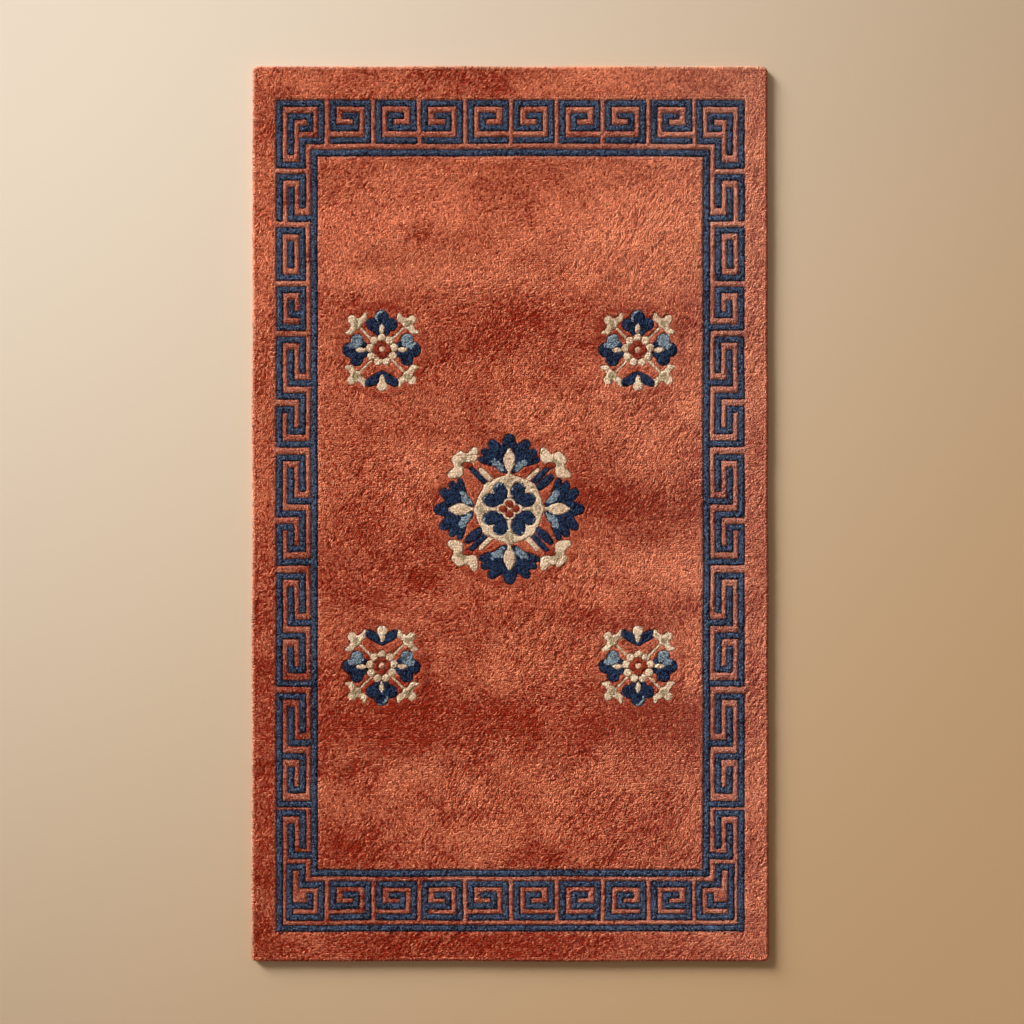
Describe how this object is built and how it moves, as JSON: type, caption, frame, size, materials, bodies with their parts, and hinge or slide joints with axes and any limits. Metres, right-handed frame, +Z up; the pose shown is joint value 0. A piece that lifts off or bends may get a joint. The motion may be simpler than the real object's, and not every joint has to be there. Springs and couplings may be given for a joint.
{
  "type": "chinese art deco rug",
  "caption": "Rectangular hand-knotted wool rug with a thick carved pile, a key-fret border and flower medallions on a plain ground.",
  "frame": {"origin": "on the floor under the middle of the rug", "axes": "+Z up through the pile, +Y along the rug's length to its far end, +X across its width"},
  "size_m": [0.926, 1.6, 0.014],
  "materials": {
    "wool_pile": "thick sheared wool pile, mostly terracotta, with blue, navy, pale blue and cream yarns"
  },
  "bodies": {
    "root": {"rug": "wool_pile"}
  },
  "joints": []
}
